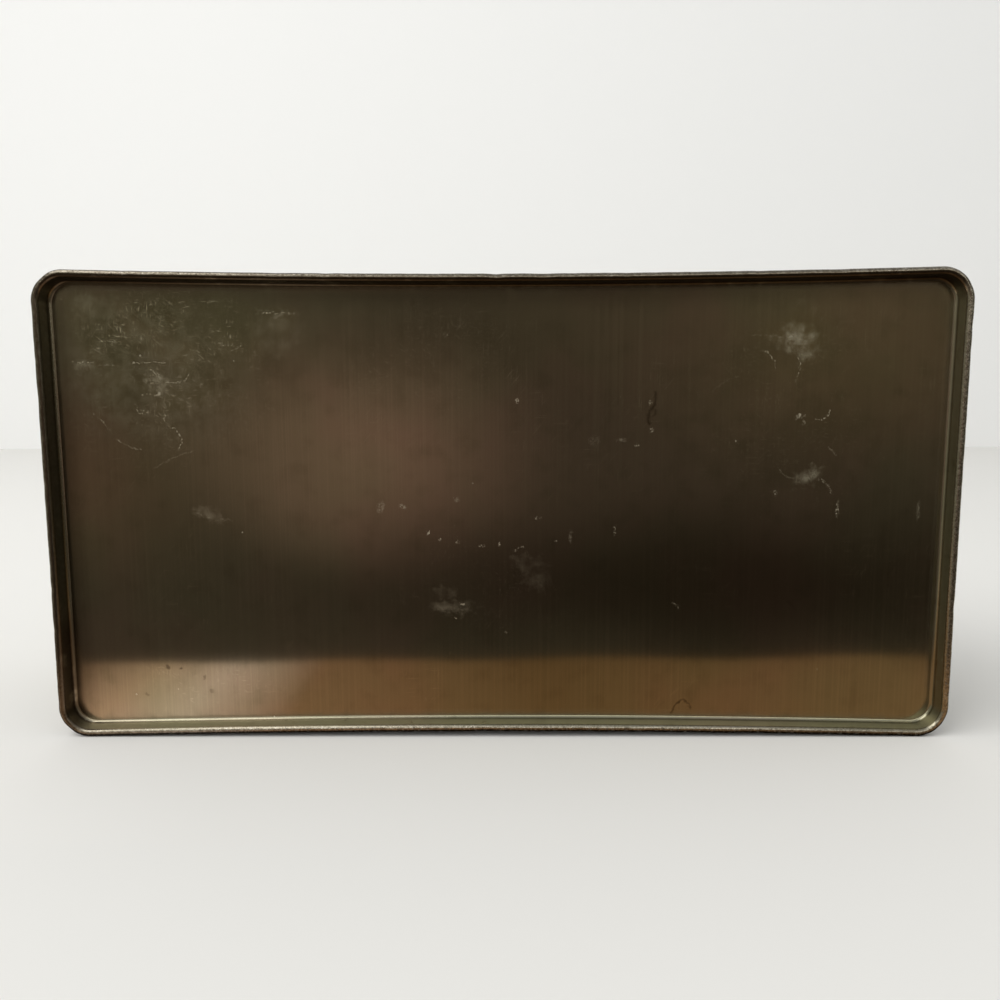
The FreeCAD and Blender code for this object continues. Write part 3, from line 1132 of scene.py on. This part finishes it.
@dataclass(frozen=True)
class SlipLid:
    """The slip lid: a raised panel, a border, a rounded edge, and a skirt that ends in an outward curl."""

    tin: Tinplate
    body: CanBody
    clearance: float = 0.15
    border: float = 9.0
    step_run: float = 2.3
    panel_corner: float = 20.0
    curl_sweep: float = math.radians(270)
    panel_rings: int = 24

    def panel(self, layer: float) -> tuple[Outline, Section]:
        """Draws the step between the raised panel and the border, for the outer or the inner face.

        Args:
            layer: How far the face lies under the lid's top.

        Returns:
            The panel's outline, and the step's section from the panel to the border.
        """
        turn = 2 * math.atan2(self.body.lid_raise, self.step_run)
        bend = self.step_run / math.sin(turn) / 2
        inner = self.border + self.step_run
        top = self.tin.depth
        low = (self.border, top - self.body.lid_raise + bend)
        section = Section((inner, top - layer), Wear(rub=0.1))
        section.arc((inner, top - bend), bend - layer, QUARTER, QUARTER + turn, Wear(rub=0.4))
        section.arc(low, bend + layer, turn - QUARTER, -QUARTER, Wear(grime=0.4))
        return self.tin.outline(self.panel_corner), section

    def rim(self) -> Section:
        """Draws the rounded edge, the skirt and its curl, and the way back inside.

        Returns:
            The section.
        """
        sheet = self.tin.sheet
        inside = self.tin.body_inset + self.body.neck_step - self.clearance
        border_rise = self.tin.depth - self.body.lid_raise
        radius = inside / 2
        curl = (inside - radius, border_rise - self.body.lid_skirt + radius)
        edge = (inside - sheet + self.body.lid_edge, border_rise - self.body.lid_edge)
        end = (curl[0] + radius * math.cos(-self.curl_sweep), curl[1] + radius * math.sin(-self.curl_sweep))
        section = Section((edge[0], border_rise), Wear(rub=0.3))
        section.arc(edge, self.body.lid_edge, QUARTER, math.pi, Wear(rub=0.8))
        section.line((inside - sheet, curl[1] + radius), 12, Wear(rub=0.1))
        section.line((inside - sheet, curl[1]), 2, Wear(grime=0.9))
        section.arc(curl, radius - sheet, 0, -self.curl_sweep, turn=HIDDEN_TURN)
        section.line(end)
        section.arc(curl, radius, -self.curl_sweep, 0, Wear(rub=1.0))
        section.line((inside, edge[1]), 6)
        section.arc(edge, self.body.lid_edge - sheet, math.pi, QUARTER, turn=HIDDEN_TURN)
        return section

    def build(self) -> Piece:
        """Builds the lid as one closed skin.

        Returns:
            The new piece.
        """
        inner = self.panel(self.tin.sheet)
        inner[1].rows.reverse()
        skin = Skin([self.panel(0.0), (self.tin.outline(), self.rim()), inner], self.panel_rings)
        return skin.mesh("lid_sheet", Unevenness(), self.tin.middle)


# --- studio


@dataclass(frozen=True)
class Camera:
    """The camera: close in front of the base end and a little above its middle, tilted down."""

    place: Place = (0.0009, -0.2491, 0.0891)
    yaw: float = -0.352
    pitch: float = 7.235
    roll: float = -0.148
    lens: float = 31.1

    def build(self) -> None:
        """Adds the camera and makes it the scene's."""
        data = bpy.data.cameras.new("camera")
        data.sensor_width, data.lens = 36.0, self.lens
        data.clip_start, data.clip_end = 0.01, 50.0
        camera = bpy.data.objects.new("camera", data)
        bpy.context.scene.collection.objects.link(camera)
        turn = Matrix.Rotation(math.radians(-self.yaw), 4, "Z")
        tilt = Matrix.Rotation(math.radians(90 - self.pitch), 4, "X")
        lean = Matrix.Rotation(math.radians(self.roll), 4, "Z")
        camera.matrix_world = Matrix.Translation(self.place) @ turn @ tilt @ lean
        bpy.context.scene.camera = camera


@dataclass(frozen=True)
class Glow:
    """A soft place on the room screen, given by where the base end mirrors it, in millimetres."""

    x: float
    z: float
    across: float
    up: float
    colour: str
    amount: float = 1.0


def rectangle(start: Place, end: Place) -> list[Place]:
    """Lists the corners of a rectangle that stands square to the axes.

    Args:
        start: One corner.
        end: The opposite corner, which shares one coordinate with it.

    Returns:
        The four corners: start first, and the one along the first differing axis next.
    """
    first, second = [axis for axis in range(3) if start[axis] != end[axis]]
    corners = np.tile(start, (4, 1))
    corners[1:3, first] = end[first]
    corners[2:, second] = end[second]
    return corners.tolist()


@dataclass(frozen=True)
class Studio:
    """A pale table and wall in soft light, and dim screens that only the metal mirrors, as in a room.

    Places and distances are in metres. The camera looks along y, and x runs to its right.
    """

    tin: Tinplate
    camera: Camera
    table_colour: str = "#E6E4DF"
    wall_colour: str = "#F3F2EF"
    room_colour: str = "#6C6359"
    side_colour: str = "#55503F"
    floor_colour: str = "#4A3B2C"
    window_colour: str = "#A6A395"
    ceiling_colour: str = "#F2F2EC"
    ceiling_strength: float = 2.1
    world_colour: str = "#F4F6F8"
    world_strength: float = 0.85
    lamp_place: Place = (-0.9, -0.6, 1.3)
    lamp_size: float = 1.3
    lamp_power: float = 14.5
    reach: float = 3.0
    wall_distance: float = 1.1
    near_edge: float = -0.031
    # painted shadow of the tin on the strip: how far it reaches from the tin, and the strength at the tin
    contact_shadow_reach: float = 0.0065
    contact_shadow_light: float = 0.02
    front_edge: float = -0.0905
    front_slope: float = -0.029
    strip_reach: float = 0.3
    strip_strength: Flat = (1.75, 1.45)
    screen_distance: float = -1.2
    screen_left: float = -0.95
    screen_right: float = 1.5
    screen_foot: float = -1.2
    screen_top: float = 0.36
    ceiling_top: float = 0.95
    side_end: float = 0.1
    floor_end: float = 0.3
    strip_colours: tuple[tuple[float, str], ...] = (
        (-0.190, "#5C4836"),
        (-0.135, "#A58D78"),
        (-0.112, "#E8CEB6"),
        (-0.088, "#FFEEE4"),
        (-0.058, "#B18E71"),
        (0.012, "#8E6F50"),
        (0.125, "#9E8162"),
        (0.200, "#4A3829"),
    )
    glows: tuple[Glow, ...] = (
        Glow(-85, 48, 130, 90, "#918C7A"),
        Glow(84, 45, 136, 86, "#8B806A"),
        Glow(20, 50, 120, 60, "#7C6E61", 0.65),
        Glow(-105, 8, 96, 66, "#8A7969"),
        Glow(60, -21, 330, 62, "#40372F"),
        Glow(-38, 15, 114, 74, "#BFA295"),
    )

    def sheet(self, name: str, corners: list[Place], material: Material) -> Piece:
        """Adds a flat stage sheet.

        Args:
            name: Its name.
            corners: Its corners, in metres.
            material: Its material.

        Returns:
            The sheet.
        """
        mesh = bpy.data.meshes.new(name)
        mesh.from_pydata(corners, [], [range(len(corners))])
        mesh.materials.append(material)
        sheet = bpy.data.objects.new(name, mesh)
        bpy.context.scene.collection.objects.link(sheet)
        return sheet

    def screen(self, name: str, corners: list[Place], material: Material) -> None:
        """Adds a sheet that only shows in the metal."""
        screen = self.sheet(name, corners, material)
        screen.visible_camera = screen.visible_diffuse = screen.visible_shadow = False

    def paint(self, name: str, colour: str) -> Material:
        """Makes a matt paint."""
        looks = {"Base Color": linear(colour), "Roughness": 0.9, "Specular IOR Level": 0.1}
        return finish_material(new_material(name), "BsdfPrincipled", looks)

    def plain_light(self, name: str, colour: str, strength: float = 1.0) -> Material:
        """Makes an even light."""
        looks = {"Color": linear(colour), "Strength": strength}
        return finish_material(new_material(name), "Emission", looks)

    def mirrored(self, x: float, z: float) -> Place:
        """Finds the place on the screen that the base end mirrors at a place of its own.

        The line from the camera to the face turns back there, and goes on by the same slope to the screen.

        Args:
            x: The place on the base end, in millimetres from its middle.
            z: Its height, in millimetres from its middle.

        Returns:
            The place on the screen, in metres.
        """
        face = (self.tin.recess_depth - self.tin.depth / 2) * MM
        eye = self.camera.place
        reach = (face - self.screen_distance) / (face - eye[1])
        across, up = x * MM, (z + self.tin.height / 2) * MM
        return (across + (across - eye[0]) * reach, self.screen_distance, up + (up - eye[2]) * reach)

    def room(self) -> Material:
        """Makes the light of the dim room: one colour, with soft glows and shades over it.

        Returns:
            The new material.
        """
        material = new_material("dim_room_light")
        tree = material.node_tree
        place = add_node(tree, "TexCoord", out="Object")
        colour = linear(self.room_colour)
        for glow in self.glows:
            middle = self.mirrored(glow.x, glow.z)
            edge = self.mirrored(glow.x + glow.across / 2, glow.z + glow.up / 2)
            size = (edge[0] - middle[0], 1.0, edge[2] - middle[2])
            soft = oval(tree, place, middle, size, turn=0.0, full=0.9, amount=glow.amount)
            tint = {"Factor": soft, 6: colour, 7: linear(glow.colour)}
            colour = add_node(tree, "Mix", tint, 2, data_type="RGBA")
        return finish_material(material, "Emission", {"Color": colour, "Strength": 1.0})

    def strip(self) -> Material:
        """Makes the light of the table's front strip: brightest at the left, warm and dim from the middle on.

        It is darkened where the tin stands, a painted shadow of the tin, and then falls a little from the tin
        to the front edge.

        Returns:
            The new material.
        """
        material = new_material("table_strip_light")
        tree = material.node_tree
        place = add_node(tree, "TexCoord", out="Object")
        across, along, _ = add_node(tree, "SeparateXYZ", {0: place}).node.outputs
        left, right = self.strip_colours[0][0], self.strip_colours[-1][0]
        share = add_node(tree, "MapRange", {0: across, 1: left, 2: right})
        colour = add_node(tree, "ValToRGB", {0: share})
        stops = colour.node.color_ramp.elements
        for x, _ in self.strip_colours[1:-1]:
            stops.new((x - left) / (right - left))
        for stop, (_, tone) in zip(stops, self.strip_colours):
            stop.color = linear(tone)
        near = -self.tin.depth / 2 * MM
        # painted shadow of the tin, darkening the strip where it stands
        foot = {0: along, 1: near, 2: near - self.contact_shadow_reach, 3: self.contact_shadow_light, 4: 1.0}
        dark = add_node(tree, "MapRange", foot, interpolation_type="SMOOTHSTEP")
        fall = {0: along, 1: near, 2: self.front_edge, 3: self.strip_strength[0], 4: self.strip_strength[1]}
        both = {0: dark, 1: add_node(tree, "MapRange", fall)}
        strength = add_node(tree, "Math", both, operation="MULTIPLY")
        return finish_material(material, "Emission", {"Color": colour, "Strength": strength})

    def build(self) -> None:
        """Builds the table, the wall, the screens, the lamp and the world."""
        side, near, far = self.reach, self.near_edge, self.wall_distance
        table = self.paint("matt_table_paint", self.table_colour)
        self.sheet("table", rectangle((-side, near, 0), (side, far, 0)), table)
        front = self.sheet("table_front", rectangle((-side, -side, 0), (side, near, 0)), table)
        front.visible_glossy = False
        end, edge, lean = self.strip_reach, self.front_edge, self.strip_reach * self.front_slope
        corners = [(-end, edge - lean, 0), (end, edge + lean, 0), (end, near, 0), (-end, near, 0)]
        self.screen("table_strip", corners, self.strip())
        wall = self.paint("matt_wall_paint", self.wall_colour)
        self.sheet("wall", rectangle((-side, far, 0), (side, far, side)), wall)
        left, right, away = self.screen_left, self.screen_right, self.screen_distance
        foot, head, top = self.screen_foot, self.screen_top, self.ceiling_top
        self.screen("dim_room", rectangle((right, away, foot), (left, away, head)), self.room())
        bright = self.plain_light("ceiling_light", self.ceiling_colour, self.ceiling_strength)
        self.screen("ceiling", rectangle((right, away, head), (left, away, top)), bright)
        under = self.plain_light("dim_floor_light", self.floor_colour)
        self.screen("dim_floor", rectangle((right, self.floor_end, foot), (left, away, foot)), under)
        dim = self.plain_light("dim_side_light", self.side_colour)
        self.screen("dim_side", rectangle((right, self.side_end, foot), (right, away, top)), dim)
        window = self.plain_light("window_light", self.window_colour)
        self.screen("window", rectangle((left, self.side_end, foot), (left, away, top)), window)
        self.lamp("key")
        world = bpy.data.worlds.new("pale_room")
        bpy.context.scene.world = world
        world.use_nodes = True
        background = world.node_tree.nodes["Background"].inputs
        background["Color"].default_value = linear(self.world_colour)
        background["Strength"].default_value = self.world_strength

    def lamp(self, name: str) -> None:
        """Adds the square area lamp, which faces the tin.

        Args:
            name: Its name.
        """
        data = bpy.data.lights.new(name, "AREA")
        data.size, data.energy = self.lamp_size, self.lamp_power
        lamp = bpy.data.objects.new(name, data)
        bpy.context.scene.collection.objects.link(lamp)
        lamp.location = self.lamp_place
        lamp.rotation_euler = (-Vector(self.lamp_place)).to_track_quat("-Z", "Y").to_euler()


# --- the tin


def hand_over(piece: Piece, node: str, material: Material) -> None:
    """Gives a finished piece its material and its place in the frame.

    Args:
        piece: The piece.
        node: The CAD node that it stands for.
        material: Its material.
    """
    piece.data.materials.append(material)
    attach(piece, "root")
    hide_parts(node)
    log.info("%s: %d faces", piece.name, len(piece.data.polygons))


def main() -> None:
    """Builds the camera, the studio and the tin's three pieces."""
    logging.basicConfig(level=logging.INFO, format="%(name)s: %(message)s")
    bpy.context.scene.view_settings.view_transform = "Standard"
    tin, camera = Tinplate(), Camera()
    camera.build()
    Studio(tin, camera).build()
    body = CanBody(tin)
    end_finish = AgedTinplate("aged_tinplate_base_end", BASE_END_MARKS).make(tin)
    body_finish = AgedTinplate("aged_tinplate_body", Marks(), Grain.ROUND).make(tin)
    lid_finish = AgedTinplate("aged_tinplate_lid", LID_MARKS).make(tin)
    hand_over(BaseEnd(tin).build(), "base_end", end_finish)
    hand_over(body.build(), "body", body_finish)
    hand_over(SlipLid(tin, body).build(), "lid", lid_finish)


if __name__ == "__main__":
    main()
